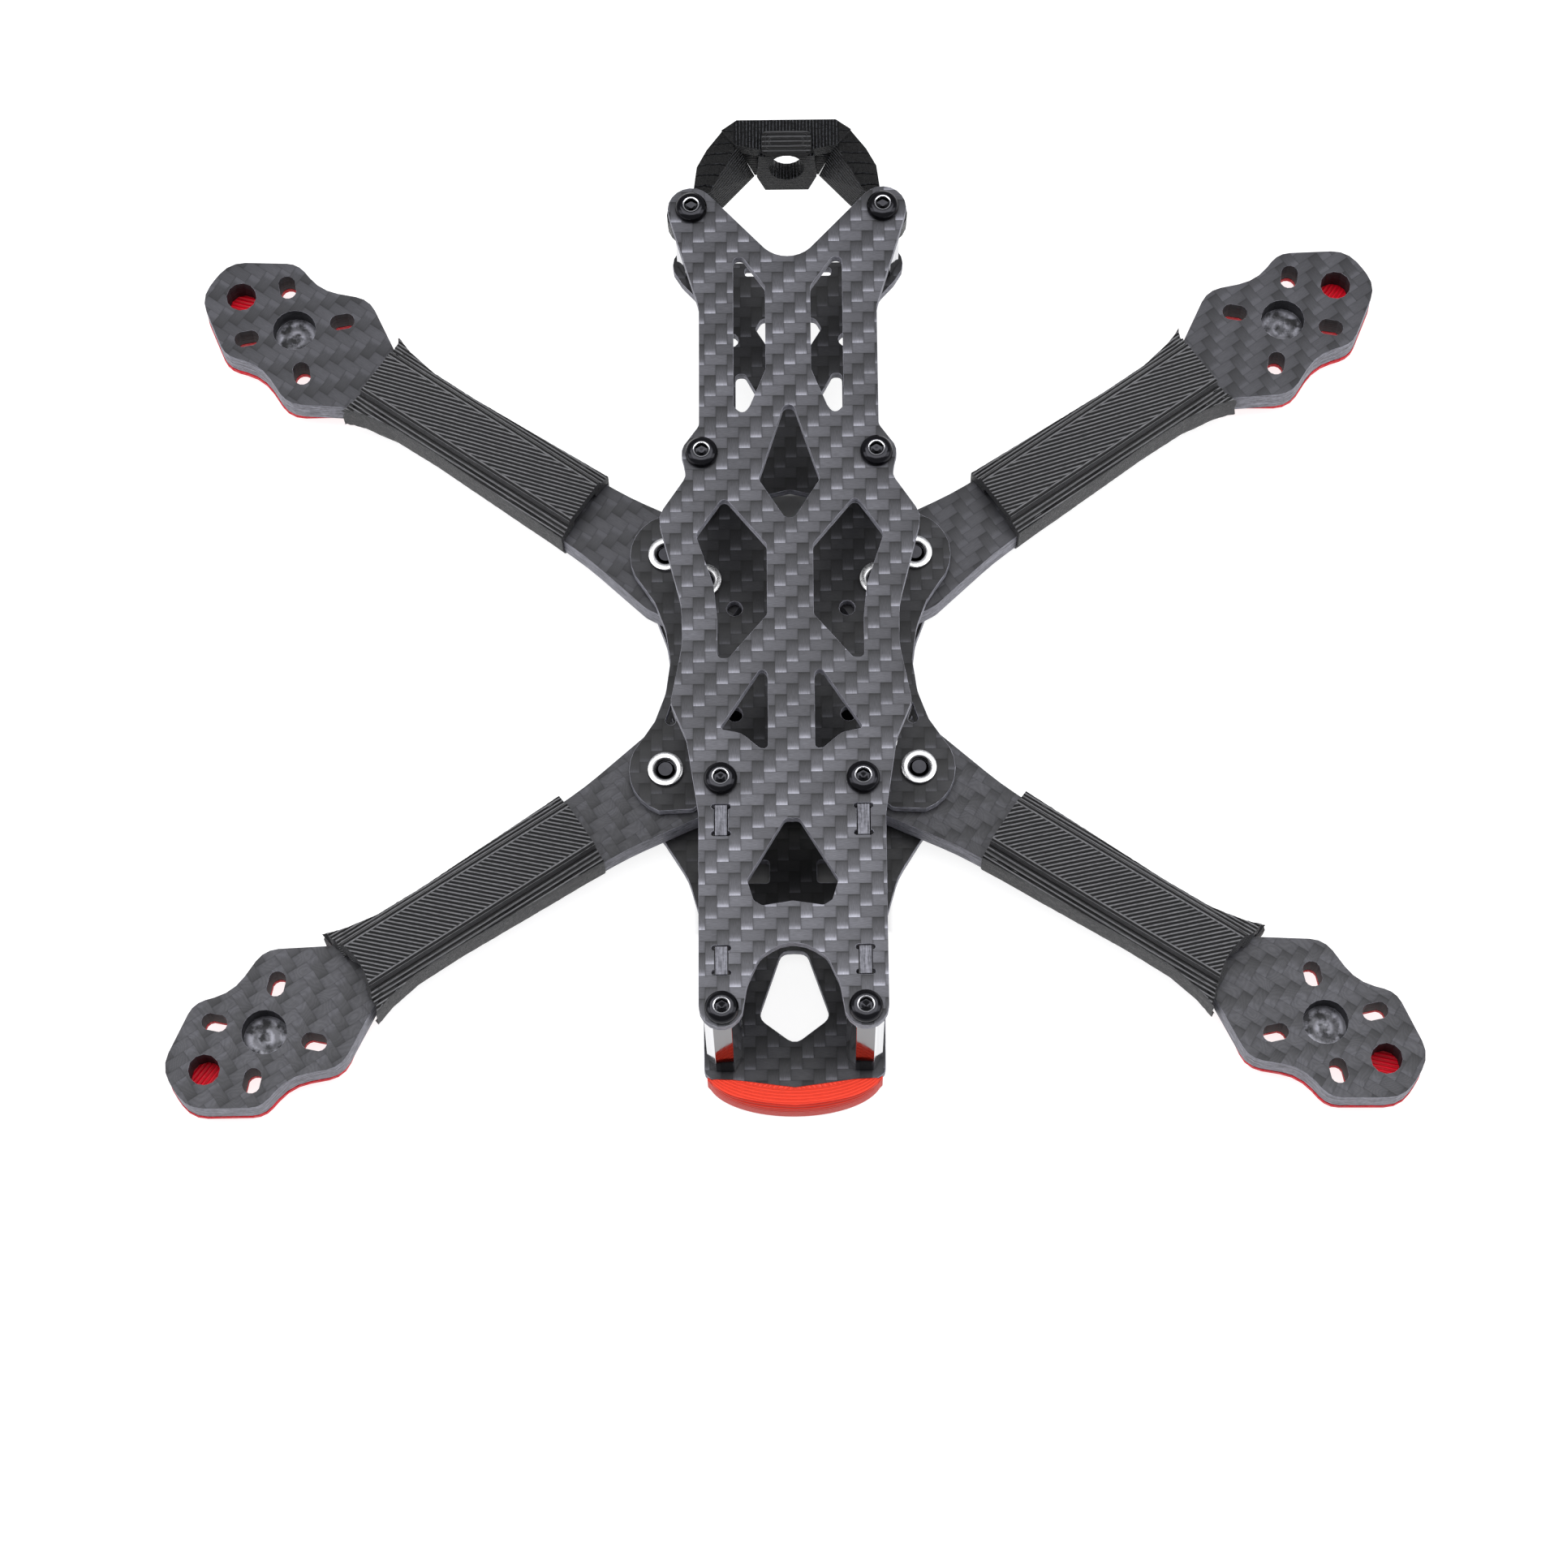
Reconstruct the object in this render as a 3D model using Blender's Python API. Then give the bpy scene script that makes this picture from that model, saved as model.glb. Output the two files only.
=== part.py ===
"""Bare carbon-fibre quadcopter racing frame, built piece by piece.

Frame: +X right, +Y to the rear, +Z up. The origin is the centre of the electronics deck, on the top
face of the mid plate, midway between the four motors. Sizes are in millimetres and become metres
when a mesh is made.
"""

import math

import bmesh
import bpy
from mathutils import Matrix, Vector
from mathutils.geometry import delaunay_2d_cdt

MM = 0.001
GAP = 0.2  # air left between pieces that touch on the real frame

# Heights, counted from the electronics deck (top face of the mid plate)
PLATE_T = 2.0
ARM_T = 5.0
REAR_STANDOFF = 20.0
MID_TOP = 0.0
MID_BOTTOM = MID_TOP - PLATE_T
ARM_TOP = MID_BOTTOM - GAP
ARM_BOTTOM = ARM_TOP - ARM_T
LOWER_TOP = ARM_BOTTOM - GAP
LOWER_BOTTOM = LOWER_TOP - PLATE_T
ROOF_BOTTOM = MID_TOP + REAR_STANDOFF
ROOF_TOP = ROOF_BOTTOM + PLATE_T

# Fastener places, right half: the left half mirrors them
REAR_POST = (17.04, 77.85)
WAIST_POST = (15.23, 30.28)
SHOULDER_POST = (12.08, -30.05)
NOSE_POST = (11.98, -70.4)
OUTER_BOLT = (22.2, 20.35)
INNER_BOLT = (15.4, 15.3)
STACK_HOLE = (10.0, 10.0)

SCREW_R = 1.5
CLEAR_R = 1.75
HEAD_R = 2.85
HEAD_H = 1.65
SOCKET_AF = 2.0
SOCKET_DEPTH = 1.1
STANDOFF_AF = 5.5
NUT_R = 3.12
NUT_BORE_R = 1.8
NUT_H = 0.7

# Motor places and the direction that each right-hand arm points in
REAR_MOTOR = (90.25, 66.65)
REAR_ANGLE = 34.6
FRONT_MOTOR = (91.2, -66.65)
FRONT_ANGLE = -33.2
SHAFT_WELL_R = 3.95
SHAFT_WELL_DEPTH = 3.7
TIP_HOLE_R = 2.75
SLOT_R = 1.55
SLOT_NEAR = 8.1
SLOT_FAR = 9.55
PAD_T = 1.1

# Camera cage
CHEEK_X = 12.05
CHEEK_T = 2.0
CHEEK_FRONT = -66.6
CHEEK_REAR = -33.9
TAB_SPANS = ((-40.0, -34.6), (-64.5, -59.6))
TAB_FIT = 0.2
CAMERA_PIVOT_Y = -57.5
TILT_SLOT_RADII = (8.0, 10.0)
TILT_SLOT_REACH = 28  # degrees either way
CHEEK_WINDOW = 16.0

# Arm guards, heights counted from the arm's faces
GUARD_CROWN = 5.0
GUARD_SHOULDER = 2.9
GUARD_LIP = 1.2
GUARD_ROOF = 1.3

# Antenna mount
BRIDGE_RISE = 1.8
BORE_R = 3.2
BORE_TILT = 77.5
BORE_CENTRE = (0.0, 88.4, 17.4)
LUG_R = 4.4
LUG_BORE_R = 3.4
LUG_H = 4.0

ROUND_SIDES = 18
HIDDEN_SIDES = 12


def material(name, color, roughness, metallic=0.0):
    made = bpy.data.materials.new(name)
    made.use_nodes = True
    shader = made.node_tree.nodes["Principled BSDF"]
    shader.inputs["Base Color"].default_value = (*color, 1.0)
    shader.inputs["Roughness"].default_value = roughness
    shader.inputs["Metallic"].default_value = metallic
    made.diffuse_color = (*color, 1.0)
    return made


def add_object(name, mesh, made_of, smooth_angle=35):
    obj = bpy.data.objects.new(name, mesh)
    bpy.context.scene.collection.objects.link(obj)
    mesh.materials.append(made_of)
    mesh.shade_smooth()
    mesh.set_sharp_from_angle(angle=math.radians(smooth_angle))
    return obj


def mesh_of(name, points, faces):
    mesh = bpy.data.meshes.new(name)
    mesh.from_pydata([tuple(c * MM for c in point) for point in points], [], faces)
    work = bmesh.new()
    work.from_mesh(mesh)
    bmesh.ops.recalc_face_normals(work, faces=work.faces)
    work.to_mesh(mesh)
    work.free()
    return mesh


# Outlines: lists of (x, y) corners, or (x, y, radius) where the corner is rounded


def arc(centre, radius, start, end, steps):
    angles = [math.radians(start + (end - start) * i / steps) for i in range(steps + 1)]
    return [(centre[0] + radius * math.cos(a), centre[1] + radius * math.sin(a)) for a in angles]


def circle(centre, radius, steps=12):
    return arc(centre, radius, 0, 360, steps)[:-1]


def rounded(corners, degrees_per_step=30):
    """The outline with each radius turned into an arc."""
    outline = []
    for i, corner in enumerate(corners):
        here = Vector(corner[:2])
        if len(corner) == 2:
            outline.append(tuple(here))
            continue
        before = (Vector(corners[i - 1][:2]) - here).normalized()
        after = (Vector(corners[(i + 1) % len(corners)][:2]) - here).normalized()
        half = before.angle(after) / 2
        centre = here + (before + after).normalized() * corner[2] / math.sin(half)
        start = here + before * corner[2] / math.tan(half) - centre
        turn = math.pi - 2 * half
        if before.cross(after) > 0:
            turn = -turn
        steps = max(2, math.ceil(math.degrees(abs(turn)) / degrees_per_step))
        for step in range(steps + 1):
            angle = turn * step / steps
            spoke = Matrix.Rotation(angle, 2) @ start
            outline.append(tuple(centre + spoke))
    return outline


def mirrored(points):
    return [(-x, *rest) for x, *rest in reversed(points)]


def both_sides(half):
    """A closed outline from its right half, which runs from centre line to centre line."""
    left = [corner for corner in mirrored(half) if abs(corner[0]) > 1e-6]
    return rounded(half + left)


def pair(half):
    """A right-hand opening and its mirror image."""
    outline = rounded(half)
    return [outline, mirrored(outline)]


def four(place, radius):
    return [circle((sx * place[0], sy * place[1]), radius) for sx in (1, -1) for sy in (1, -1)]


def two(place, radius):
    return [circle((sx * place[0], place[1]), radius) for sx in (1, -1)]


def inside(point, outline):
    x, y = point
    crossed = False
    for (x0, y0), (x1, y1) in zip(outline, outline[1:] + outline[:1]):
        if (y0 > y) != (y1 > y) and x < x0 + (y - y0) * (x1 - x0) / (y1 - y0):
            crossed = not crossed
    return crossed


def filled(outline, holes, patches=()):
    """Triangles that fill the outline and leave the holes open. A patch stays one whole triangle."""
    points = []
    edges = []
    for loop in (outline, *holes, *patches):
        first = len(points)
        points += [Vector(point) for point in loop]
        edges += [(first + i, first + (i + 1) % len(loop)) for i in range(len(loop))]
    verts, _, faces, *_ = delaunay_2d_cdt(points, edges, [], 0, 1e-5)
    kept = []
    for face in faces:
        middle = sum((verts[i] for i in face), Vector((0, 0))) / 3
        if inside(middle, outline) and not any(inside(middle, hole) for hole in holes):
            kept.append([tuple(verts[i]) for i in face])
    return kept


def sheet(name, outline, holes, bottom, top, wells=(), patches=()):
    """A flat plate with through holes, and with wells (outline, floor height) sunk from the top."""
    index = {}
    faces = []

    def corner(point, z):
        return index.setdefault((round(point[0], 4), round(point[1], 4), z), len(index))

    def wall(loop, low, high):
        for a, b in zip(loop, loop[1:] + loop[:1]):
            faces.append([corner(a, low), corner(b, low), corner(b, high), corner(a, high)])

    well_loops = [loop for loop, _ in wells]
    for triangle in filled(outline, holes + well_loops, patches):
        faces.append([corner(point, top) for point in triangle])
    for triangle in filled(outline, holes, patches):
        faces.append([corner(point, bottom) for point in triangle])
    for loop in [outline, *holes]:
        wall(loop, bottom, top)
    for loop, floor in wells:
        wall(loop, floor, top)
        for triangle in filled(loop, []):
            faces.append([corner(point, floor) for point in triangle])
    return mesh_of(name, list(index), faces)


def ring(radius, z, sides, six_sided=False):
    """One ring of a turned piece. A six-sided one takes half its width across flats as radius."""
    points = []
    for i in range(sides):
        angle = 2 * math.pi * i / sides
        from_flat = (angle + math.pi / 6) % (math.pi / 3) - math.pi / 6
        reach = radius / math.cos(from_flat) if six_sided else radius
        points.append((reach * math.cos(angle), reach * math.sin(angle), z))
    return points


def turned(name, rings, through=False):
    """A piece from equal sections in order; through joins the last to the first and leaves a bore."""
    sides = len(rings[0])
    points = [point for one in rings for point in one]
    count = len(rings)
    faces = []
    for level in range(count if through else count - 1):
        here = level * sides
        there = (level + 1) % count * sides
        for i in range(sides):
            j = (i + 1) % sides
            faces.append([here + i, here + j, there + j, there + i])
    if not through:
        faces.append(list(range(sides)))
        faces.append(list(range((count - 1) * sides, count * sides)))
    return mesh_of(name, points, faces)


def sleeve(name, outer, inner):
    """A tube of sections: outer and inner sections hold equally many points."""
    size = len(outer[0])
    last = len(outer) - 1
    points = [point for section in outer + inner for point in section]
    faces = []
    for shell in (0, len(outer) * size):
        for level in range(last):
            for i in range(size):
                a = shell + level * size + i
                b = shell + level * size + (i + 1) % size
                faces.append([a, b, b + size, a + size])
    for level in (0, last):
        for i in range(size):
            a = level * size + i
            b = level * size + (i + 1) % size
            shift = len(outer) * size
            faces.append([a, b, b + shift, a + shift])
    return mesh_of(name, points, faces)


def hull(name, points):
    """A convex block round the given corners."""
    mesh = bpy.data.meshes.new(name)
    work = bmesh.new()
    for point in points:
        work.verts.new([c * MM for c in point])
    found = bmesh.ops.convex_hull(work, input=work.verts)
    spare = set(found["geom_interior"] + found["geom_unused"])
    bmesh.ops.delete(work, geom=list(spare), context="VERTS")
    bmesh.ops.recalc_face_normals(work, faces=work.faces)
    work.to_mesh(mesh)
    work.free()
    return mesh


def helper(mesh):
    """A shape that only a Boolean uses."""
    obj = bpy.data.objects.new("helper_" + mesh.name, mesh)
    bpy.context.scene.collection.objects.link(obj)
    obj.hide_render = True
    obj.display_type = "WIRE"
    return obj


def combine(obj, other, operation):
    step = obj.modifiers.new(operation.lower(), "BOOLEAN")
    step.operation = operation
    step.solver = "EXACT"
    step.object = other


# Plates


def roof_outline():
    notch = arc((0, 74.3), 5.9, -90, -47, 4)
    rear_ear = arc(REAR_POST, 4.2, 137, -16, 9)
    waist_ear = arc(WAIST_POST, 3.5, 45, -24, 4)
    side = [
        (18.95, 69.4, 20.0),
        (15.7, 58.6, 6.0),
        (15.7, 35.6, 1.6),
    ]
    middle = [
        (17.9, 26.0, 2.5),
        (22.9, 18.4, 4.0),
        (18.75, 2.0, 14.0),
        (18.6, -5.5, 14.0),
        (20.6, -16.0, 2.0),
        (17.9, -22.6, 5.0),
        (15.85, -36.0, 8.0),
    ]
    leg_end = arc((12.1, -69.9), 3.75, 0, -160, 8)
    arch = [
        (7.75, -66.2, 6.0),
        (5.7, -61.6, 3.0),
        (2.2, -59.2, 6.0),
        (0, -59.1),
    ]
    return both_sides(notch + rear_ear + side + waist_ear + middle + leg_end + arch)


def roof_windows():
    long_slot = [
        (9.65, 39.2, 1.2),
        (8.0, 37.6, 1.0),
        (6.8, 39.3, 1.2),
        (4.0, 46.3, 1.5),
        (4.0, 62.5, 1.0),
        (7.9, 68.2, 1.0),
        (9.65, 68.2, 0.9),
    ]
    strap_window = [
        (11.4, 22.2, 1.0),
        (16.3, 15.0, 1.5),
        (13.2, 5.5, 4.0),
        (12.6, -0.5, 4.0),
        (12.6, -8.0, 0.8),
        (10.7, -8.0, 0.8),
        (4.0, 0.0, 1.0),
        (4.0, 13.1, 1.0),
    ]
    triangle = [
        (4.9, -9.4, 0.8),
        (4.0, -11.0, 0.8),
        (4.0, -24.6, 0.7),
        (5.4, -24.4, 0.7),
        (8.5, -21.7, 3.0),
        (12.3, -20.9, 0.5),
    ]
    diamond = both_sides(
        [(0, 18.0), (0.9, 18.2, 1.0), (5.35, 25.3, 0.8), (0.9, 39.4, 1.0), (0, 39.5)]
    )
    arrow = both_sides(
        [(0, -51.7), (5.2, -52.5, 0.8), (6.6, -51.6, 0.8), (7.7, -48.0, 0.8), (1.2, -37.0, 1.0), (0, -37.1)]
    )
    return pair(long_slot) + pair(strap_window) + pair(triangle) + [diamond, arrow]


def tab_slots():
    """Slots that take the tabs of the camera cheeks, with round relief at the corners."""
    slots = []
    half_width = CHEEK_T / 2 + TAB_FIT
    relief = 0.5
    for front, rear in TAB_SPANS:
        low = front - TAB_FIT + relief
        high = rear + TAB_FIT - relief
        for side in (1, -1):
            right = side * CHEEK_X + half_width
            left = side * CHEEK_X - half_width
            slots.append(
                arc((right, low), relief, -90, 90, 4)
                + arc((right, high), relief, -90, 90, 4)
                + arc((left, high), relief, 90, 270, 4)
                + arc((left, low), relief, 90, 270, 4)
            )
    return slots


def make_roof(carbon):
    posts = (REAR_POST, WAIST_POST, SHOULDER_POST, NOSE_POST)
    holes = roof_windows() + tab_slots()
    for post in posts:
        holes += two(post, CLEAR_R)
    pad = [(-3.3, 42.5), (3.3, 42.5), (0, 61.5)]
    mesh = sheet("top_plate", roof_outline(), holes, ROOF_BOTTOM, ROOF_TOP, patches=[pad])
    add_object("top_plate", mesh, carbon)


def waist(sign, lobe_steps=8):
    """One side's lobes over the arm roots, from one lobe's outer shoulder to the waist."""
    outer = arc((20.5, sign * 20.3), 8.1, sign * 70, sign * -42, lobe_steps)
    return outer + [(24.1, sign * 11.2), (22.2, sign * 6.0, 8.0)]


def mid_outline():
    ear = arc(REAR_POST, 4.0, 120, -20, 7)
    rear = [(0, 78.2), (11.8, 78.2, 2.0)]
    tail = [
        (19.3, 74.0, 4.0),
        (16.2, 70.6, 4.0),
        (15.5, 66.0, 4.0),
        (15.5, 38.6, 4.0),
        (20.0, 32.8, 4.0),
    ]
    front_lobe = list(reversed(waist(-1)))
    nose = [(17.4, -27.6, 1.5), (15.9, -26.3, 1.0), (0, -26.3)]
    return both_sides(rear + ear + tail + waist(1) + [(21.4, 0.0)] + front_lobe + nose)


def mid_holes():
    ear_slot = [(7.9, 75.5, 0.5), (7.9, 77.1, 0.5), (4.6, 77.1, 0.5), (4.6, 75.5, 0.5)]
    side_window = [
        (5.6, 51.4, 1.0),
        (7.9, 55.8, 0.8),
        (9.66, 55.8, 0.8),
        (9.66, 41.0, 1.2),
        (7.0, 37.0, 1.5),
        (5.6, 40.0, 1.5),
    ]
    rear_diamond = both_sides(
        [(0, 66.9), (4.9, 66.9, 1.2), (6.0, 64.8, 0.6), (3.6, 60.8, 0.8), (0, 60.4)]
    )
    cross_slot = both_sides([(0, 32.9), (5.6, 31.6, 1.0), (7.0, 27.6, 1.0), (0, 26.8)])
    return pair(ear_slot) + pair(side_window) + [rear_diamond, cross_slot] + two((10.4, 62.6), 1.35)


def teardrops():
    made = []
    for side in (1, -1):
        drop = arc((side * 21.3, -11.0), 0.95, 0, -180, 6) + [(side * 21.3, -8.1)]
        made.append(drop)
    return made


def make_mid_plate(carbon):
    holes = mid_holes() + teardrops() + four(OUTER_BOLT, CLEAR_R) + four(INNER_BOLT, CLEAR_R)
    holes += four(STACK_HOLE, 1.42) + two(REAR_POST, CLEAR_R) + two(WAIST_POST, CLEAR_R)
    deck = [(-7.0, -5.0), (7.0, -5.0), (0, 8.0)]
    mesh = sheet("mid_plate", mid_outline(), holes, MID_BOTTOM, MID_TOP, patches=[deck])
    add_object("mid_plate", mesh, carbon)


def lower_outline():
    rear = [(0, 27.0), (17.2, 27.4, 3.0)]
    front_lobe = arc((20.5, -20.3), 8.1, 42, -38, 6)
    nose = [
        (22.4, -31.4),
        (18.4, -37.9, 12.0),
        (15.95, -46.5, 10.0),
        (15.65, -73.6, 1.5),
        (11.0, -76.4, 6.0),
        (0, -77.9),
    ]
    waist_front = [(22.2, -6.0, 8.0), (24.1, -11.2)]
    return both_sides(rear + waist(1) + [(21.4, 0.0)] + waist_front + front_lobe + nose)


def lower_holes():
    nose_window = both_sides([(0, -51.4), (2.2, -51.5, 1.6), (6.3, -63.5, 2.0), (0, -68.3, 2.0)])
    bay_window = [(4.2, -34.7, 0.6), (9.0, -34.7, 0.8), (9.0, -38.9, 0.8), (4.2, -38.9, 0.6)]
    return pair(bay_window) + [nose_window] + tab_slots()


def make_bottom_plate(carbon):
    holes = lower_holes() + teardrops() + four(OUTER_BOLT, CLEAR_R) + four(INNER_BOLT, CLEAR_R)
    holes += four(STACK_HOLE, 1.42) + two(SHOULDER_POST, CLEAR_R) + two(NOSE_POST, CLEAR_R)
    deck = [(-7.0, -5.0), (7.0, -5.0), (0, 8.0)]
    mesh = sheet("bottom_plate", lower_outline(), holes, LOWER_BOTTOM, LOWER_TOP, patches=[deck])
    add_object("bottom_plate", mesh, carbon)


# Arms, each drawn with +u outward from the motor's centre


def arm_outline():
    half = [
        (-98.2, 0.0),
        (-98.2, 7.6, 6.5),
        (-84.5, 9.1, 4.0),
        (-70.0, 6.9, 60.0),
        (-28.0, 4.9, 30.0),
        (-19.6, 5.7, 10.0),
        (-7.7, 12.7, 5.0),
        (0.8, 9.1, 9.0),
        (7.5, 11.2, 4.5),
        (18.1, 4.4, 5.5),
        (18.25, 0.0),
    ]
    return both_ways(half)


def pad_outline():
    half = [
        (-16.0, 0.0),
        (-16.0, 6.9, 0.8),
        (-7.7, 12.8, 5.0),
        (0.8, 9.2, 9.0),
        (7.5, 11.3, 4.5),
        (18.2, 4.45, 5.5),
        (18.35, 0.0),
    ]
    return both_ways(half)


def both_ways(half):
    """A closed outline from its half at +v, which runs from root to tip."""
    return rounded(half + [(u, -v, *rest) for u, v, *rest in reversed(half) if v > 0], 20)


def arm_half_width(u):
    """Half the arm's width along its shaft, a little generous at both flared ends."""
    towards_root = (max(0.0, -27.0 - u) / 43.0) ** 1.25 * 1.9
    towards_tip = 0.25 * max(0.0, u + 26.0)
    return 5.0 + towards_root + towards_tip


def motor_slots():
    """Four slots that suit both common screw circles. Each joins two round holes, so its waist is narrow."""
    slots = []
    for quarter in range(4):
        heading = 45 + 90 * quarter
        direction = Vector((1, 0))
        direction.rotate(Matrix.Rotation(math.radians(heading), 2))
        outward = arc(direction * SLOT_FAR, SLOT_R, heading - 75, heading + 75, 6)
        inward = arc(direction * SLOT_NEAR, SLOT_R, heading + 105, heading + 255, 6)
        slots.append(outward + inward)
    return slots


def arm_places():
    """(name, motor's centre, direction in degrees, side) of each arm."""
    places = []
    for end, motor, angle in (("rear", REAR_MOTOR, REAR_ANGLE), ("front", FRONT_MOTOR, FRONT_ANGLE)):
        for word, side in (("right", 1), ("left", -1)):
            places.append((f"{end}_{word}", motor, angle, side))
    return places


def placed(mesh, motor, angle, side):
    """Moves a mesh drawn at a right-hand motor to its arm, mirrored on the left."""
    move = Matrix.Translation((motor[0] * MM, motor[1] * MM, 0))
    turn = Matrix.Rotation(math.radians(angle), 4, "Z")
    mirror = Matrix.Diagonal((side, 1, 1, 1))
    mesh.transform(mirror @ move @ turn)
    if side < 0:
        mesh.flip_normals()
    return mesh


def in_arm_frame(point, motor, angle):
    local = Vector(point) - Vector(motor)
    local.rotate(Matrix.Rotation(math.radians(-angle), 2))
    return tuple(local)


def make_arm(place, carbon):
    name, motor, angle, side = place
    sign = 1 if motor[1] > 0 else -1
    holes = motor_slots() + [circle((12.1, 0), TIP_HOLE_R)]
    for bolt in (OUTER_BOLT, INNER_BOLT):
        holes.append(circle(in_arm_frame((bolt[0], sign * bolt[1]), motor, angle), CLEAR_R))
    well = (circle((0, 0), SHAFT_WELL_R, 20), ARM_TOP - SHAFT_WELL_DEPTH)
    mesh = sheet(f"arm_{name}", arm_outline(), holes, ARM_BOTTOM, ARM_TOP, wells=[well])
    add_object(f"arm_{name}", placed(mesh, motor, angle, side), carbon)


def make_pad(place, red):
    name, motor, angle, side = place
    top = ARM_BOTTOM - GAP
    mesh = sheet(f"motor_pad_{name}", pad_outline(), motor_slots(), top - PAD_T, top)
    add_object(f"motor_pad_{name}", placed(mesh, motor, angle, side), red)


def guard_section(u, half_width, tunnel):
    """(outer, inner) cross-sections at u of the sleeve with its raised wire channel."""
    crown = ARM_TOP + GUARD_CROWN
    shoulder = ARM_TOP + GUARD_SHOULDER
    outer_half = [
        (4.65, crown),
        (4.95, shoulder + 0.5),
        (half_width, shoulder - 0.6),
        (half_width, ARM_BOTTOM + 1.0),
        (tunnel + 0.6, ARM_BOTTOM - GUARD_LIP),
    ]
    fit = tunnel + 0.25
    under = ARM_TOP + GAP
    inner_half = [
        (3.3, crown - GUARD_ROOF),
        (3.4, under + 0.6),
        (fit, under),
        (fit, ARM_BOTTOM + 1.0),
        (fit, ARM_BOTTOM - GAP),
    ]
    sections = []
    for half in (outer_half, inner_half):
        right = [(u, v, z) for v, z in half]
        left = [(u, -v, z) for v, z in reversed(half)]
        sections.append(right + left)
    return sections


def make_guard(place, tpu):
    """A printed sleeve over the arm's shaft, flared at its outer end."""
    name, motor, angle, side = place
    stations = (
        (-65.0, 7.3),
        (-50.0, 6.8),
        (-36.0, 6.35),
        (-27.0, 6.45),
        (-21.0, 7.5),
        (-18.5, 8.4),
    )
    sections = [guard_section(u, width, arm_half_width(u)) for u, width in stations]
    mesh = sleeve(f"arm_guard_{name}", [s[0] for s in sections], [s[1] for s in sections])
    add_object(f"arm_guard_{name}", placed(mesh, motor, angle, side), tpu)


# Fasteners


def button_screw(name, sides, length):
    """A button-head screw at the origin: the head's seat is at z = 0 and the shank points down."""
    dome = [(HEAD_R, 0.35), (HEAD_R * 0.93, 0.85), (HEAD_R * 0.76, 1.35), (HEAD_R * 0.58, HEAD_H)]
    rings = [ring(SCREW_R, -length, sides), ring(SCREW_R, 0, sides), ring(HEAD_R, 0, sides)]
    rings += [ring(radius, z, sides) for radius, z in dome]
    rings.append(ring(SOCKET_AF / 2, HEAD_H, sides, six_sided=True))
    rings.append(ring(SOCKET_AF / 2, HEAD_H - SOCKET_DEPTH, sides, six_sided=True))
    return turned(name, rings)


def set_screw(name, place, z, up, sides, length, steel):
    mesh = button_screw(name, sides, length)
    if not up:
        mesh.transform(Matrix.Rotation(math.pi, 4, "Y"))
    mesh.transform(Matrix.Translation((place[0] * MM, place[1] * MM, z * MM)))
    add_object(name, mesh, steel)


def make_standoff(name, place, low, high, metal):
    """A hexagonal post with a turned chamfer at both ends."""
    half = STANDOFF_AF / 2
    rings = [ring(half * 0.97, low, 12)]
    rings.append(ring(half, low + 0.35, 12, six_sided=True))
    rings.append(ring(half, high - 0.35, 12, six_sided=True))
    rings.append(ring(half * 0.97, high, 12))
    mesh = turned(name, rings)
    mesh.transform(Matrix.Rotation(math.pi / 2, 4, "Z"))
    mesh.transform(Matrix.Translation((place[0] * MM, place[1] * MM, 0)))
    add_object(name, mesh, metal)


def make_nut(name, place, steel):
    low = MID_TOP + GAP
    rings = [
        ring(NUT_BORE_R, low, ROUND_SIDES),
        ring(NUT_R, low, ROUND_SIDES),
        ring(NUT_R, low + NUT_H * 0.7, ROUND_SIDES),
        ring(NUT_R - 0.25, low + NUT_H, ROUND_SIDES),
        ring(NUT_BORE_R, low + NUT_H, ROUND_SIDES),
    ]
    mesh = turned(name, rings, through=True)
    mesh.transform(Matrix.Translation((place[0] * MM, place[1] * MM, 0)))
    add_object(name, mesh, steel)


def make_posts_and_screws(metal, black):
    posts = (
        ("rear", REAR_POST, MID_TOP),
        ("waist", WAIST_POST, MID_TOP),
        ("shoulder", SHOULDER_POST, LOWER_TOP),
        ("nose", NOSE_POST, LOWER_TOP),
    )
    for end, (x, y), seat in posts:
        for word, side in (("right", 1), ("left", -1)):
            place = (side * x, y)
            make_standoff(f"standoff_{end}_{word}", place, seat + GAP, ROOF_BOTTOM - GAP, metal)
            shank = PLATE_T + GAP
            set_screw(f"top_screw_{end}_{word}", place, ROOF_TOP + GAP, True, ROUND_SIDES, shank, black)
            under = seat - PLATE_T - GAP
            set_screw(f"post_screw_{end}_{word}", place, under, False, HIDDEN_SIDES, shank, black)


def make_arm_bolts(black, steel):
    """Bolts that clamp each arm root between the plates, and the nuts that they screw into."""
    reach = MID_TOP + GAP + NUT_H - LOWER_BOTTOM
    for row, (x, y) in (("outer", OUTER_BOLT), ("inner", INNER_BOLT)):
        for end, front_back in (("rear", 1), ("front", -1)):
            for word, side in (("right", 1), ("left", -1)):
                place = (side * x, front_back * y)
                seat = LOWER_BOTTOM - GAP
                set_screw(f"arm_bolt_{row}_{end}_{word}", place, seat, False, HIDDEN_SIDES, reach, black)
                make_nut(f"arm_nut_{row}_{end}_{word}", place, steel)


# Camera cheeks, bumper and antenna mount


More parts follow.
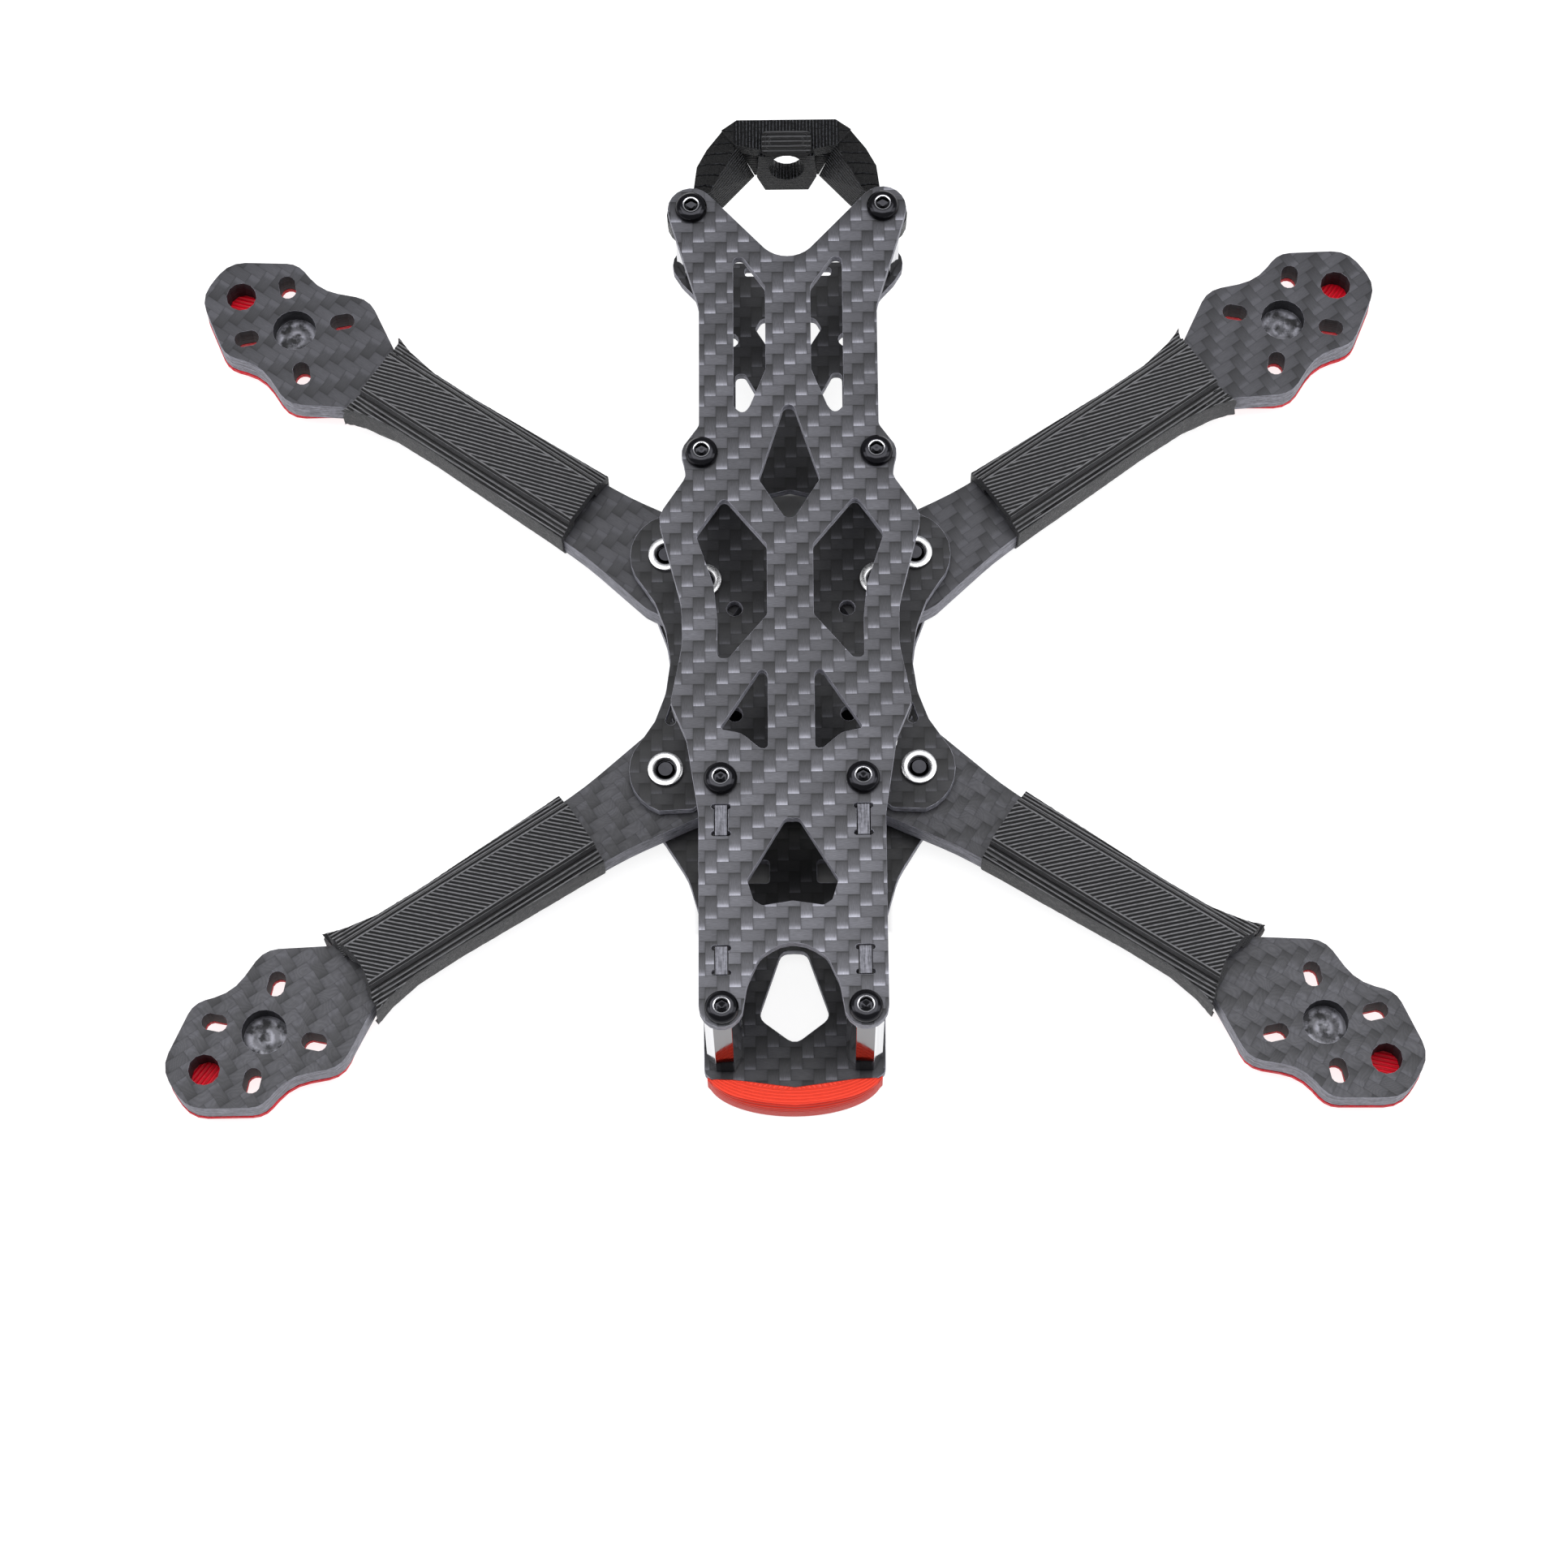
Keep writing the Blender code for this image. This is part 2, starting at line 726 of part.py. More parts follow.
def make_cheek(word, side, carbon):
    """An upright camera plate, drawn flat as (y, z) and then turned up on edge."""
    low = LOWER_TOP + GAP
    high = ROOF_BOTTOM - GAP
    tab_low = LOWER_BOTTOM + 0.1
    tab_high = ROOF_TOP - 0.1
    front_tab, rear_tab = TAB_SPANS[1], TAB_SPANS[0]
    outline = [(CHEEK_FRONT, low)]
    for span in (front_tab, rear_tab):
        outline += [(span[0], low), (span[0], tab_low), (span[1], tab_low), (span[1], low)]
    outline += [(CHEEK_REAR, low), (CHEEK_REAR, high)]
    for span in (rear_tab, front_tab):
        outline += [(span[1], high), (span[1], tab_high), (span[0], tab_high), (span[0], high)]
    outline += [(CHEEK_FRONT, high)]
    middle = (low + high) / 2
    pivot_place = (CAMERA_PIVOT_Y, middle)
    pivot = circle(pivot_place, 1.1, 12)
    near, far = TILT_SLOT_RADII
    slot = arc(pivot_place, far, -TILT_SLOT_REACH, TILT_SLOT_REACH, 7)
    slot += arc(pivot_place, near, TILT_SLOT_REACH, -TILT_SLOT_REACH, 7)
    ends = ((-44.0, -1), (-37.0, -1), (-37.0, 1), (-44.0, 1))
    window = rounded([(y, middle + side_up * CHEEK_WINDOW / 2, 2.0) for y, side_up in ends])
    mesh = sheet(f"camera_plate_{word}", outline, [pivot, slot, window], -CHEEK_T / 2, CHEEK_T / 2)
    mesh.transform(Matrix(((0, 0, 1, 0), (1, 0, 0, 0), (0, 1, 0, 0), (0, 0, 0, 1))))
    mesh.transform(Matrix.Translation((side * CHEEK_X * MM, 0, 0)))
    add_object(f"camera_plate_{word}", mesh, carbon)


def make_bumper(red):
    """A soft strip clipped over the front edge of the bottom plate: its section is a C."""
    top = LOWER_TOP + 2.0
    foot = LOWER_BOTTOM - 1.4
    slot_top = LOWER_TOP + GAP
    slot_foot = LOWER_BOTTOM - GAP
    stations = (
        (15.1, -74.0, 0.4, 0.7, 0.1),
        (14.4, -75.0, 0.7, 1.2, 0.2),
        (11.5, -76.6, 1.0, 1.6, 0.4),
        (6.0, -77.7, 1.8, 1.6, 0.8),
        (0.0, -78.2, 2.2, 1.6, 1.1),
    )
    stations = stations + tuple((-x, *rest) for x, *rest in reversed(stations[:-1]))
    sections = []
    for x, edge, depth, lip, slope in stations:
        slot = edge - 0.15
        inner = slot + lip
        outer = edge - depth
        profile = [
            (inner, slot_top),
            (inner, top),
            (outer + slope, top),
            (outer, top - 2.2),
            (outer, foot),
            (inner, foot),
            (inner, slot_foot),
            (slot, slot_foot),
            (slot, slot_top),
        ]
        sections.append([(x, y, z) for y, z in profile])
    add_object("nose_bumper", turned("nose_bumper", sections), red)


def mount_arm(side):
    """The block that joins a lug to the rear bridge. Its inner face slopes in towards the bottom."""
    top = ROOF_BOTTOM - 0.3
    low = ROOF_BOTTOM - 5.5
    corners = [
        (16.9, 80.5, top),
        (16.6, 83.6, top),
        (16.1, 87.2, top + 0.4),
        (14.3, 90.4, top + 0.9),
        (11.6, 93.7, top + 1.5),
        (8.8, 91.0, top + 1.5),
        (10.5, 88.2, top + 0.7),
        (13.7, 82.6, top),
        (16.4, 81.0, low),
        (16.2, 84.0, low),
        (15.6, 87.0, low),
        (11.0, 93.2, low),
        (8.5, 91.0, low),
        (5.8, 88.3, low),
        (11.5, 82.0, low),
    ]
    return [(side * x, y, z) for x, y, z in corners]


def mirror_corners(corners):
    return [(side * x, y, z) for x, y, z in corners for side in (1, -1)]


def make_antenna_mount(tpu):
    """Two lugs on the rear posts, arms that run back to a roofed bridge, and a wall with a bore."""
    top = ROOF_BOTTOM + BRIDGE_RISE
    bridge = ((8.9, 95.7), (11.6, 93.7), (8.9, 90.6), (3.3, 89.4))
    roof = mirror_corners([(x, y, z) for x, y in bridge for z in (top - 2.6, top)])
    wall = mirror_corners(
        [(8.5, 91.0, top - 2.3), (5.8, 89.2, 13.2), (8.8, 93.4, top - 2.3), (6.2, 91.2, 13.2)]
    )
    saddle = mirror_corners(
        [
            (3.9, 87.0, 11.6),
            (5.4, 87.8, 15.1),
            (5.0, 89.1, 20.4),
            (3.9, 89.6, 11.6),
            (5.4, 90.5, 15.1),
            (5.0, 91.6, 20.4),
        ]
    )
    body = add_object("antenna_mount", hull("antenna_mount", roof), tpu, 30)
    combine(body, helper(hull("wall", wall)), "UNION")
    combine(body, helper(hull("saddle", saddle)), "UNION")
    lug_top = ROOF_BOTTOM - GAP
    lug_low = ROOF_BOTTOM - LUG_H
    for side in (1, -1):
        post = (side * REAR_POST[0], REAR_POST[1])
        lug = [(x, y, z) for x, y in circle(post, LUG_R, 20) for z in (lug_low, lug_top)]
        combine(body, helper(hull(f"arm_{side}", mount_arm(side))), "UNION")
        combine(body, helper(hull(f"lug_{side}", lug)), "UNION")
    bore = turned("antenna_bore", [ring(BORE_R, z, ROUND_SIDES) for z in (-8.0, 8.0)])
    bore.transform(Matrix.Rotation(math.radians(BORE_TILT), 4, "X"))
    bore.transform(Matrix.Translation(Vector(BORE_CENTRE) * MM))
    combine(body, helper(bore), "DIFFERENCE")
    for side in (1, -1):
        cutter = turned(f"post_{side}", [ring(LUG_BORE_R, z, ROUND_SIDES) for z in (0.0, ROOF_TOP)])
        cutter.transform(Matrix.Translation((side * REAR_POST[0] * MM, REAR_POST[1] * MM, 0)))
        combine(body, helper(cutter), "DIFFERENCE")


def main():
    for old in list(bpy.data.objects):
        bpy.data.objects.remove(old, do_unlink=True)
    carbon = material("carbon", (0.09, 0.09, 0.1), 0.4)
    carbon_lower = material("carbon_lower", (0.05, 0.05, 0.055), 0.4)
    carbon_arm = material("carbon_arm", (0.07, 0.07, 0.075), 0.4)
    carbon_cage = material("carbon_cage", (0.06, 0.06, 0.065), 0.4)
    tpu_black = material("tpu_black", (0.02, 0.02, 0.022), 0.55)
    tpu_red = material("tpu_red", (0.75, 0.03, 0.015), 0.5)
    pad_red = material("pad_red", (0.6, 0.0, 0.01), 0.5)
    polished = material("polished_metal", (0.5, 0.5, 0.52), 0.08, 1.0)
    black_steel = material("black_steel", (0.03, 0.03, 0.032), 0.25, 1.0)
    bright_steel = material("bright_steel", (0.75, 0.75, 0.76), 0.25, 1.0)
    make_roof(carbon)
    make_mid_plate(carbon_lower)
    make_bottom_plate(carbon_lower)
    for place in arm_places():
        make_arm(place, carbon_arm)
        make_pad(place, pad_red)
        make_guard(place, tpu_black)
    make_posts_and_screws(polished, black_steel)
    make_arm_bolts(black_steel, bright_steel)
    for word, side in (("right", 1), ("left", -1)):
        make_cheek(word, side, carbon_cage)
    make_bumper(tpu_red)
    make_antenna_mount(tpu_black)


main()
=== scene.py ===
import math

import bmesh
import bpy
from mathutils import Matrix, Vector, noise


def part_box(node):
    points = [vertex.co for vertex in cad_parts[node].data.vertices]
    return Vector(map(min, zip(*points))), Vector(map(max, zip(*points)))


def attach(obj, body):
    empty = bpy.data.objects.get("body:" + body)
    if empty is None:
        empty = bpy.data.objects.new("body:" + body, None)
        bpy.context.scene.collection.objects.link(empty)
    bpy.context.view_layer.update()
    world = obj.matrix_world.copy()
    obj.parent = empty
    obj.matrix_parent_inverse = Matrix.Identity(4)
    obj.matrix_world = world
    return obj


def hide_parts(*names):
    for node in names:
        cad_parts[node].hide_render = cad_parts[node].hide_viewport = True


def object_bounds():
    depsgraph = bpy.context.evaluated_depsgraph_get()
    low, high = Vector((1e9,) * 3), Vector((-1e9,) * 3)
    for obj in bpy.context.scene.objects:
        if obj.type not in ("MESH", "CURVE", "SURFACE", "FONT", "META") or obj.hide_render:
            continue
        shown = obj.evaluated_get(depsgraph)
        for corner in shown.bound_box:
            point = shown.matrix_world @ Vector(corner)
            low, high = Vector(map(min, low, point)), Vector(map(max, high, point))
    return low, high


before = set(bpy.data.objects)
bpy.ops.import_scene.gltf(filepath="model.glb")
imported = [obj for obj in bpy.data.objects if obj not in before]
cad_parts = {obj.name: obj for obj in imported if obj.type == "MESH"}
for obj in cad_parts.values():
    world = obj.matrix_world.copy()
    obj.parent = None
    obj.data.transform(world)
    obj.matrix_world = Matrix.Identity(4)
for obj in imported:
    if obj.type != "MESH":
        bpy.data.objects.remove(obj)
cad_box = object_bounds()

# The racing frame's looks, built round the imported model: +X right, +Y rear, +Z up, in metres.
# Sizes below are in millimetres, and MM turns them into metres.
MM = 0.001
TOW = 2.0  # width of one carbon tow
LAYER = 0.3  # height of one printed layer
BEAD = 0.72  # spacing of printed lines on a top face
BUMPER_BOW = 6.6  # how far the bumper's ends stand behind its middle
BRIDGE_Y = 91.0  # middle of the pad on the antenna mount's bridge
CARBON_TINT = (1.0, 1.0, 1.15)  # a faint blue tint on all the carbon colours

# Heights and places read from the frame
ARM_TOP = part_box("arm_rear_right")[1].z / MM
ARM_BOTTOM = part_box("arm_rear_right")[0].z / MM
CROWN = ARM_TOP + 5.0  # top of the guards' wire channel
WELL_FLOOR = ARM_TOP - 3.7
FLOOR = cad_box[0].z

# Each right-hand arm's motor centre and heading; the left-hand ones mirror them
ARMS = {"rear": ((90.25, 66.65), 34.6), "front": ((91.2, -66.65), -33.2)}
SIDES = (("right", 1), ("left", -1))
TIP_HOLE_U = 12.1
GUARD_ROOT = -65.0  # where a guard starts, counted from the motor's centre
GUARD_TIP = -18.0

# Half widths of a guard along its arm, as (place, half width): straight, then flared towards the tip
GUARD_WIDTH = ((GUARD_ROOT, 7.3), (-50.0, 6.8), (-36.0, 6.35), (-27.0, 6.45))
GUARD_WIDTH += ((-21.0, 7.5), (-18.5, 8.3), (-16.5, 9.1))

# The floor gives off no light between these, where the body hides it: the dark patch is a painted shadow,
# seen through the body's windows
SHADE_HALF_X = 14.0
SHADE_HALF_Y = 40.5
SHADE_MIDDLE_Y = -4.0


# Shader nodes


def is_socket(value):
    return isinstance(value, bpy.types.NodeSocket)


class Shader:
    """A material being made: each call adds one node and gives its output."""

    def __init__(self, name, roughness, metallic=0.0, specular=0.5):
        self.material = bpy.data.materials.new(name)
        self.material.use_nodes = True
        self.tree = self.material.node_tree
        self.bsdf = self.tree.nodes["Principled BSDF"]
        self.bsdf.inputs["Roughness"].default_value = roughness
        self.bsdf.inputs["Metallic"].default_value = metallic
        self.bsdf.inputs["Specular IOR Level"].default_value = specular

    def put(self, socket, value):
        if is_socket(value):
            self.tree.links.new(value, socket)
        else:
            socket.default_value = value

    def node(self, kind, *values, **settings):
        made = self.tree.nodes.new("ShaderNode" + kind)
        for key, value in settings.items():
            setattr(made, key, value)
        for socket, value in zip(made.inputs, values):
            if value is not None:
                self.put(socket, value)
        return made

    def math(self, operation, *values):
        return self.node("Math", *values, operation=operation).outputs[0]

    def plus(self, a, b):
        return self.math("ADD", a, b)

    def minus(self, a, b):
        return self.math("SUBTRACT", a, b)

    def times(self, a, b):
        return self.math("MULTIPLY", a, b)

    def above(self, value, level):
        return self.math("GREATER_THAN", value, level)

    def below(self, value, level):
        return self.math("LESS_THAN", value, level)

    def size(self, value):
        return self.math("ABSOLUTE", value)

    def reach(self, x, y):
        return self.math("SQRT", self.plus(self.times(x, x), self.times(y, y)))

    def wave(self, value, pitch, phase=0.0):
        """A sine of value that repeats every pitch."""
        return self.math("SINE", self.math("MULTIPLY_ADD", value, 2 * math.pi / pitch, phase))

    def place(self, turn=0.0, origin=(0.0, 0.0)):
        """Object coordinates in millimetres, counted from origin and turned."""
        mapping = self.node("Mapping", vector_type="TEXTURE")
        self.put(mapping.inputs["Vector"], self.node("TexCoord").outputs["Object"])
        mapping.inputs["Location"].default_value = (origin[0] * MM, origin[1] * MM, 0)
        mapping.inputs["Rotation"].default_value = (0, 0, turn)
        mapping.inputs["Scale"].default_value = (MM,) * 3
        return mapping.outputs[0]

    def split(self, vector):
        return self.node("SeparateXYZ", vector).outputs[:3]

    def join(self, x, y, z=0.0):
        return self.node("CombineXYZ", x, y, z).outputs[0]

    def normal(self):
        return self.split(self.node("TexCoord").outputs["Normal"])

    def noise(self, vector, scale, detail=3.0, roughness=0.55):
        made = self.node("TexNoise")
        self.put(made.inputs["Vector"], vector)
        made.inputs["Scale"].default_value = scale
        made.inputs["Detail"].default_value = detail
        made.inputs["Roughness"].default_value = roughness
        return made.outputs["Fac"]

    def spread(self, value, low, high, low_to, high_to):
        """value's range low..high stretched onto low_to..high_to, and held at the ends."""
        return self.node("MapRange", value, low, high, low_to, high_to).outputs[0]

    def ramp(self, factor, stops):
        made = self.node("ValToRGB", factor)
        elements = made.color_ramp.elements
        while len(elements) < len(stops):
            elements.new(0.5)
        for element, (position, grey) in zip(elements, stops):
            element.position = position
            element.color = (grey, grey, grey, 1.0)
        return made.outputs["Color"]

    def choose(self, factor, no, yes):
        """no where factor is 0 and yes where it is 1, for numbers."""
        return self.node("Mix", factor, None, no, yes, data_type="FLOAT").outputs[0]

    def tint(self, factor, dark, light):
        made = self.node("Mix", data_type="RGBA")
        self.put(made.inputs["Factor"], factor)
        self.put(made.inputs["A"], (*dark, 1.0) if isinstance(dark, tuple) else dark)
        self.put(made.inputs["B"], (*light, 1.0) if isinstance(light, tuple) else light)
        return made.outputs["Result"]

    def bump(self, height, depth, strength=1.0):
        made = self.node("Bump")
        self.put(made.inputs["Height"], height)
        made.inputs["Distance"].default_value = depth * MM
        made.inputs["Strength"].default_value = strength
        self.put(self.bsdf.inputs["Normal"], made.outputs[0])


def weave(s, x, y):
    """Brightness and height of a 2x2 twill on a grid of tow widths, about 1 and 0 to 1."""
    column = s.math("FLOOR", x)
    row = s.math("FLOOR", y)
    climb = s.minus(y, column)
    run = s.minus(s.minus(x, row), 1.0)
    along_warp = s.math("DIVIDE", s.math("FLOORED_MODULO", climb, 4.0), 2.0)
    along_weft = s.math("DIVIDE", s.math("FLOORED_MODULO", run, 4.0), 2.0)
    warp = s.below(along_warp, 1.0)
    warp_id = s.join(column, s.math("FLOOR", s.math("DIVIDE", climb, 4.0)), 3.0)
    weft_id = s.join(s.math("FLOOR", s.math("DIVIDE", run, 4.0)), row, 7.0)
    chosen_id = s.node("Mix", data_type="VECTOR")
    s.put(chosen_id.inputs["Factor"], warp)
    s.put(chosen_id.inputs[4], weft_id)
    s.put(chosen_id.inputs[5], warp_id)
    chance = s.node("TexWhiteNoise", chosen_id.outputs[1], noise_dimensions="3D").outputs["Value"]
    # Each warp float starts bright: a painted highlight at its end, fading into the tow's own tone.
    warp_stops = [(0, 1.9), (0.06, 1.6), (0.17, 0.75), (0.32, 0.42), (0.7, 0.3), (0.93, 0.17), (1, 0.06)]
    warp_tone = s.ramp(along_warp, warp_stops)
    weft_tone = s.ramp(along_weft, [(0, 0.34), (0.07, 0.6), (0.5, 0.54), (0.93, 0.48), (1, 0.28)])
    across = s.choose(warp, s.math("FRACT", y), s.math("FRACT", x))
    edge = s.ramp(across, [(0, 0.55), (0.08, 0.95), (0.5, 1.05), (0.92, 0.95), (1, 0.6)])
    fibres_up = s.noise(s.join(s.times(x, 14.0), y), 1.7, 2.0)
    fibres_over = s.noise(s.join(x, s.times(y, 14.0)), 1.7, 2.0)
    fibres = s.choose(warp, fibres_over, fibres_up)
    tone = s.times(s.choose(warp, weft_tone, warp_tone), edge)
    tone = s.times(tone, s.spread(fibres, 0.3, 0.7, 1.5, 2.5))
    tone = s.times(tone, s.spread(chance, 0, 1, 0.76, 1.24))
    along = s.choose(warp, along_weft, along_warp)
    crown = s.math("SINE", s.times(along, math.pi))
    height = s.plus(crown, s.times(fibres, 0.35))
    return tone, height


def carbon(
    name,
    tone,
    contrast,
    turn=0.0,
    origin=(0.0, 0.0),
    upright=False,
    swirl=0.0,
    well=False,
    peak=9.0,
    shade=None,
):
    """Cured twill on the faces, bare laminate on the cut edges, and a painted highlight as a pale line
    along each corner.

    peak caps the painted highlight at the tow ends. shade is (y0, y1, value, value): painted light and
    shade, a slow change along Y.
    """
    s = Shader(name, 0.45, specular=0.24)
    x, y, z = s.split(s.place(turn, origin))
    nx, _, nz = s.normal()
    if upright:
        x, y, z, nz = y, z, x, nx
    shift = 0.37
    pattern, height = weave(
        s,
        s.math("MULTIPLY_ADD", x, 1.0 / TOW, shift),
        s.math("MULTIPLY_ADD", y, 1.0 / TOW, shift),
    )
    pattern = s.math("MINIMUM", s.math("MULTIPLY_ADD", s.minus(pattern, 1.0), contrast, 1.0), peak)
    cloud = s.noise(s.place(), 0.06, 3.0)
    face = s.times(pattern, s.spread(cloud, 0.3, 0.7, 0.9 * tone, 1.1 * tone))
    # shade paints light and shade into the colour, slowly along Y.
    if shade:
        face = s.times(face, s.spread(y, *shade))
    if swirl:
        rings = s.math("SINE", s.times(s.noise(s.join(x, y), 0.11, 2.0), 150.0))
        face = s.times(face, s.spread(rings, -1, 1, 1 - swirl, 1 + swirl))
    scratch = s.noise(s.join(s.times(x, 5.0), y), 2.4, 4.0, 0.7)
    face = s.plus(face, s.spread(scratch, 0.74, 0.82, 0.0, 0.08))
    plies = s.noise(s.join(s.times(x, 0.35), s.times(y, 0.35), s.times(z, 7.0)), 1.0, 3.0)
    dust = s.noise(s.place(), 1.6, 2.0)
    palest_ply = 0.16 if upright else 0.26
    cut = s.plus(s.spread(plies, 0.35, 0.65, 0.05, palest_ply), s.spread(dust, 0.4, 0.7, 0.0, 0.06))
    # Inside the motor slots and the tip hole the cut walls are painted darker: painted shade in the holes.
    if well:
        cut = s.times(cut, s.choose(inside_holes(s, x, y), 1.0, 0.14))
    facing = s.size(nz)
    flat = s.above(facing, 0.97)
    corner = s.times(s.above(facing, 0.35), s.minus(1.0, flat))
    # The bevelled corners get a pale blotchy colour: a painted highlight along each edge.
    chamfer_highlight = s.spread(s.noise(s.place(), 0.5, 4.0), 0.35, 0.7, 0.10, 0.36)
    color = s.choose(corner, s.choose(flat, cut, face), chamfer_highlight)
    rough = s.choose(flat, 0.62, s.spread(height, 0, 1.3, 0.52, 0.4))
    if well:
        milled, milled_rough = milled_floor(s, x, y)
        at_floor = s.below(s.size(s.minus(z, WELL_FLOOR)), 0.2)
        color = s.choose(s.times(flat, at_floor), color, milled)
        rough = s.choose(s.times(flat, at_floor), rough, milled_rough)
    s.put(s.bsdf.inputs["Base Color"], s.tint(color, (0, 0, 0), CARBON_TINT))
    s.put(s.bsdf.inputs["Roughness"], rough)
    s.bump(s.choose(flat, plies, height), 0.03, 0.6)
    return s.material


def inside_holes(s, x, y):
    """1 within the round band that holds an arm's motor slots and within its tip hole."""
    band = s.times(s.below(s.reach(x, y), 11.3), s.below(s.size(y), 8.5))
    tip = s.below(s.reach(s.minus(x, TIP_HOLE_U), y), 3.1)
    return s.math("MAXIMUM", band, tip)


def milled_floor(s, x, y):
    """The swirl that an end mill leaves on the shaft well's floor: rings broken up by chipped epoxy."""
    blots = s.noise(s.place(), 0.55, 4.0, 0.55)
    rings = s.math("SINE", s.math("MULTIPLY_ADD", s.reach(x, y), 3.4, s.times(blots, 7.0)))
    shine = s.times(s.spread(rings, -0.6, 1, 0.4, 1.0), s.spread(blots, 0.4, 0.64, 0.03, 0.3))
    return shine, s.spread(blots, 0.4, 0.6, 0.6, 0.35)


def printed(name, dark, light, raster, turn=0.0, origin=(0.0, 0.0), rim=None, pitch=BEAD, depth=0.12):
    """Printed plastic: raster lines on faces that look up, lines along the rim, and layers on the sides."""
    s = Shader(name, 0.45, specular=0.2)
    x, y, z = s.split(s.place(turn, origin))
    wobble = s.noise(s.place(), 0.35, 3.0)
    layers = s.wave(z, LAYER, s.times(wobble, 2.5))
    up = s.above(s.size(s.normal()[2]), 0.8)
    angle = math.radians(raster)
    across = s.plus(s.times(x, -math.sin(angle)), s.times(y, math.cos(angle)))
    beads = s.wave(across, pitch, wobble)
    if rim is not None:
        border = s.wave(s.minus(s.size(y), rim), pitch)
        beads = s.choose(s.above(s.size(y), rim), beads, border)
    lines = s.choose(up, layers, beads)
    blobs = s.noise(s.place(), 1.3, 4.0, 0.65)
    tone = s.times(s.spread(lines, -0.2, 0.9, 0.0, 1.0), s.spread(blobs, 0.3, 0.7, 0.55, 1.0))
    s.put(s.bsdf.inputs["Base Color"], s.tint(tone, dark, light))
    s.put(s.bsdf.inputs["Roughness"], s.spread(blobs, 0.35, 0.65, 0.34, 0.6))
    s.bump(s.plus(lines, s.times(blobs, 0.8)), depth, 0.7)
    return s.material


def bumper_print(middle_y, half_width):
    """Orange-red print: lines that follow the bumper's curve at its edge and slanted ones within."""
    s = Shader("tpu_red", 0.4, specular=0.2)
    x, y, z = s.split(s.place())
    share = s.math("DIVIDE", x, half_width)
    bow = s.math("SQRT", s.math("MAXIMUM", s.minus(1.0, s.times(share, share)), 0.0))
    inward = s.minus(s.math("MULTIPLY_ADD", bow, BUMPER_BOW, y), middle_y + BUMPER_BOW)
    wobble = s.noise(s.place(), 0.4, 3.0)
    slant = s.math("MULTIPLY_ADD", s.size(x), 0.8, s.times(y, 0.6))
    hatch = s.wave(slant, 0.75, s.times(wobble, 9.0))
    layers = s.wave(z, 0.5, s.times(wobble, 2.0))
    top = s.choose(s.above(inward, 3.6), s.wave(inward, 0.6), hatch)
    up = s.above(s.normal()[2], 0.8)
    lines = s.choose(up, layers, top)
    # Top faces are painted lighter red than the layered sides: painted light from above.
    tone = s.plus(s.choose(up, 0.0, 0.55), s.spread(lines, -1, 1, 0.0, 0.45))
    s.put(s.bsdf.inputs["Base Color"], s.tint(tone, (0.4, 0.008, 0.001), (0.88, 0.06, 0.03)))
    s.bump(lines, 0.12, 0.7)
    return s.material


def mount_print():
    """The antenna mount's near-black glossy print: stepped arms, a finely ribbed roof and layered walls."""
    s = Shader("tpu_mount", 0.3, specular=0.22)
    x, y, z = s.split(s.place())
    wobble = s.noise(s.place(), 0.5, 3.0)
    layers = s.wave(z, 0.45, s.times(wobble, 3.0))
    ribs = s.wave(x, 0.6, s.times(wobble, 2.0))
    steps = s.math("FRACT", s.math("MULTIPLY_ADD", y, 0.5, s.times(wobble, 0.35)))
    crest = s.spread(steps, 0.84, 1.0, -1.0, 1.0)
    up = s.above(s.size(s.normal()[2]), 0.6)
    beside = s.above(s.size(x), 9.5)
    lines = s.choose(up, layers, s.choose(beside, ribs, crest))
    grain = s.noise(s.place(), 2.0, 4.0, 0.7)
    tone = s.times(s.spread(lines, -0.1, 1.0, 0.0, 1.0), s.spread(grain, 0.35, 0.65, 0.1, 1.0))
    s.put(s.bsdf.inputs["Base Color"], s.tint(tone, (0.0008, 0.0008, 0.001), (0.06, 0.062, 0.07)))
    s.put(s.bsdf.inputs["Roughness"], s.spread(grain, 0.35, 0.65, 0.18, 0.42))
    s.bump(s.plus(lines, s.times(grain, 1.6)), 0.3, 0.9)
    return s.material


def steel(name, color, roughness):
    """Machined metal: fine turning marks with a little colour variation and handling smudges."""
    s = Shader(name, roughness, metallic=1.0)
    marks = s.noise(s.place(), 2.2, 4.0, 0.6)
    smudge = s.noise(s.place(), 0.25, 3.0)
    darker = tuple(c * 0.72 for c in color)
    s.put(s.bsdf.inputs["Base Color"], s.tint(s.spread(smudge, 0.3, 0.7, 0.0, 1.0), darker, color))
    s.put(s.bsdf.inputs["Roughness"], s.spread(marks, 0.3, 0.7, roughness * 0.75, roughness * 1.3))
    s.bump(marks, 0.01, 0.25)
    return s.material


def mirror_bar(name):
    """A hexagonal bar polished to a mirror, with a painted dark reflection on its front and rear flats."""
    s = Shader(name, 0.05, metallic=1.0)
    x, y, _ = s.split(s.place())
    marks = s.noise(s.join(x, y), 1.5, 3.0)
    # The front and rear flats are painted near black: a painted reflection of the dark things in front of
    # and behind them.
    front = s.spread(s.size(s.normal()[1]), 0.9, 0.97, 0.0, 1.0)
    bright_flats = s.tint(s.spread(marks, 0.3, 0.7, 0.0, 1.0), (0.42, 0.42, 0.44), (0.6, 0.6, 0.62))
    s.put(s.bsdf.inputs["Base Color"], s.tint(front, bright_flats, (0.06, 0.06, 0.066)))
    s.put(s.bsdf.inputs["Roughness"], s.spread(marks, 0.3, 0.7, 0.03, 0.1))
    return s.material


# Mesh helpers


